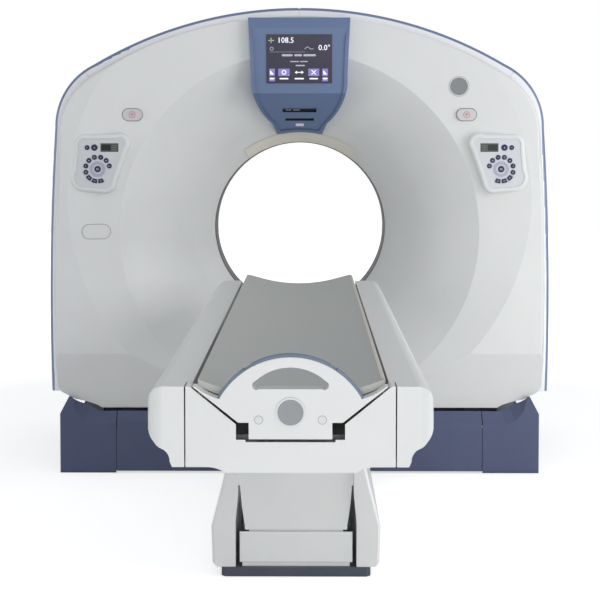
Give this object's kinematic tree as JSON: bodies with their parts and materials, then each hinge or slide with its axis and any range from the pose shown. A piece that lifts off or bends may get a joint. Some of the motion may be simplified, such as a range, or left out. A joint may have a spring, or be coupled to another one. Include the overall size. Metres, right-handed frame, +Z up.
{
  "type": "ct scanner",
  "caption": "Tilting CT scanner: dished ring gantry with a turning X-ray rotor on a floor base, and a lifting patient table whose cradle slides into the bore.",
  "frame": {"origin": "on the floor, straight under the crossing of the scan plane and the bore's axis", "axes": "+X right as seen from the foot of the table, +Y from the table into the bore, +Z up"},
  "size_m": [1.9496, 3.409, 1.811],
  "materials": {
    "aluminium": "machined aluminium",
    "base_dark": "dark moulded skin",
    "base_navy": "dark navy moulded plastic, fine texture",
    "belt_rubber": "ribbed rubber belt",
    "black_plastic": "brush holder",
    "brass_track": "slip ring tracks",
    "cast_housing": "cast housing",
    "chrome_rod": "ground chromed rod",
    "console_blue": "blue moulded plastic",
    "cover_lavender": "satin pale lavender moulded plastic",
    "cover_white": "satin grey-white moulded plastic",
    "cradle_grey": "glossy carbon-fibre laminate",
    "foot_paint": "dark painted foot plate",
    "frame_paint": "powder-coated steel weldment",
    "grip_blue": "blue-grey grip strip",
    "key_navy": "dark navy elastomer keys",
    "panel_grey": "pale grey panel",
    "screen_glass": "dark display glass",
    "steel": "turned steel",
    "stop_red": "grey stop button with red mark",
    "window_beige": "beige light window",
    "window_film": "thin dark polyester film"
  },
  "bodies": {
    "base": {"gantry_base_frame": "frame_paint", "base_cover_left": "base_navy", "base_cover_right": "base_navy", "base_panels": "base_navy", "base_trough": "base_dark", "tilt_gear_unit": "cast_housing", "table_base_frame": "foot_paint", "pedestal_side_left": "cover_white", "pedestal_side_right": "cover_white", "pedestal_lower_panel": "cover_white", "pedestal_upper_panel": "cover_white"},
    "gantry": {"tilt_frame": "frame_paint", "trunnion_pins": "steel", "front_cover": "cover_white", "rear_cover": "cover_white", "top_cover_left": "cover_lavender", "top_cover_right": "cover_lavender", "side_cover_left": "cover_lavender", "side_cover_right": "cover_lavender", "scan_window": "window_film", "localiser_window": "window_beige", "console_shield": "console_blue", "console_screen": "screen_glass", "port_plate": "cover_white", "control_panel_left": "panel_grey", "control_panel_right": "panel_grey", "ring_keys_left": "key_navy", "ring_keys_right": "key_navy", "bearing_outer": "steel", "brush_block": "black_plastic", "drive_belt": "belt_rubber", "drive_motor": "cast_housing"},
    "rotor": {"rotor_drum": "aluminium", "bearing_inner": "steel", "slip_ring": "brass_track", "xray_tube": "cast_housing", "collimator": "steel", "detector": "aluminium", "generator": "frame_paint", "tube_cooler": "aluminium"},
    "pulley": {"drive_pulley": "steel"},
    "centre_key_left": {"centre_key_left": "key_navy"},
    "centre_key_right": {"centre_key_right": "key_navy"},
    "stop_button_left": {"stop_button_left": "stop_red"},
    "stop_button_right": {"stop_button_right": "stop_red"},
    "arm_front": {"lift_arm_front": "frame_paint"},
    "arm_rear": {"lift_arm_rear": "frame_paint"},
    "cylinder": {"actuator_cylinder": "steel"},
    "rod": {"actuator_rod": "chrome_rod"},
    "table": {"table_frame": "aluminium", "table_side_left": "cover_white", "table_side_right": "cover_white", "table_front_cover": "cover_white", "belly_cover": "cover_white"},
    "cradle": {"cradle": "cradle_grey", "cradle_carriage": "aluminium", "cradle_end_cap": "cover_white", "handle_grip": "grip_blue"},
    "roller_left": {"roller_left": "steel"},
    "roller_right": {"roller_right": "steel"}
  },
  "joints": [
    {"name": "gantry_tilt", "type": "hinge", "parent": "base", "child": "gantry", "pos_m": [0, 0, 0.94], "axis": [-1, 0, 0], "range_deg": [-30, 30]},
    {"name": "rotor_spin", "type": "hinge", "parent": "gantry", "child": "rotor", "pos_m": [0, 0, 0.94], "axis": [0, 1, 0], "continuous": true},
    {"name": "pulley_spin", "type": "hinge", "parent": "gantry", "child": "pulley", "pos_m": [0.59, 0, 0.448], "axis": [0, 1, 0], "continuous": true},
    {"name": "lift_arm_swing", "type": "hinge", "parent": "base", "child": "arm_front", "pos_m": [0, -1.64, 0.095], "axis": [1, 0, 0], "range_deg": [-28, 31]},
    {"name": "table_level", "type": "hinge", "parent": "arm_front", "child": "table", "pos_m": [0, -1.12144, 0.5652], "axis": [1, 0, 0], "range_deg": [-31.5, 28.5]},
    {"name": "rear_arm_swing", "type": "hinge", "parent": "base", "child": "arm_rear", "pos_m": [0, -1.31, 0.095], "axis": [1, 0, 0], "range_deg": [-28.5, 31.5]},
    {"name": "cylinder_swing", "type": "hinge", "parent": "base", "child": "cylinder", "pos_m": [0, -1.59978, 0.17265], "axis": [1, 0, 0], "range_deg": [-14.5, 16]},
    {"name": "rod_swing", "type": "hinge", "parent": "arm_rear", "child": "rod", "pos_m": [0, -1.08776, 0.29652], "axis": [1, 0, 0], "range_deg": [-16, 14.5]},
    {"name": "cradle_slide", "type": "slide", "parent": "table", "child": "cradle", "axis": [0, 1, 0], "range_m": [0, 1.6]},
    {"name": "roller_spin_left", "type": "hinge", "parent": "table", "child": "roller_left", "pos_m": [-0.188, -0.745, 0.74515], "axis": [1, 0, 0], "continuous": true},
    {"name": "centre_key_press_left", "type": "slide", "parent": "gantry", "child": "centre_key_left", "axis": [0, 1, 0], "range_m": [0, 0.0015], "stiffness_N_per_m": 800},
    {"name": "stop_press_left", "type": "slide", "parent": "gantry", "child": "stop_button_left", "axis": [0, 1, 0], "range_m": [0, 0.006], "stiffness_N_per_m": 900},
    {"name": "roller_spin_right", "type": "hinge", "parent": "table", "child": "roller_right", "pos_m": [0.188, -0.745, 0.74515], "axis": [1, 0, 0], "continuous": true},
    {"name": "centre_key_press_right", "type": "slide", "parent": "gantry", "child": "centre_key_right", "axis": [0, 1, 0], "range_m": [0, 0.0015], "stiffness_N_per_m": 800},
    {"name": "stop_press_right", "type": "slide", "parent": "gantry", "child": "stop_button_right", "axis": [0, 1, 0], "range_m": [0, 0.006], "stiffness_N_per_m": 900}
  ],
  "couplings": [
    {"joint": "pulley_spin", "follows": "rotor_spin", "ratio": 15.476},
    {"joint": "table_level", "follows": "lift_arm_swing", "ratio": -1},
    {"joint": "rear_arm_swing", "follows": "lift_arm_swing", "ratio": 1},
    {"joint": "cylinder_swing", "follows": "lift_arm_swing", "ratio": 0.5},
    {"joint": "rod_swing", "follows": "lift_arm_swing", "ratio": -0.5},
    {"joint": "roller_spin_left", "follows": "cradle_slide", "rad_per_m": -55.556},
    {"joint": "roller_spin_right", "follows": "cradle_slide", "rad_per_m": -55.556}
  ]
}
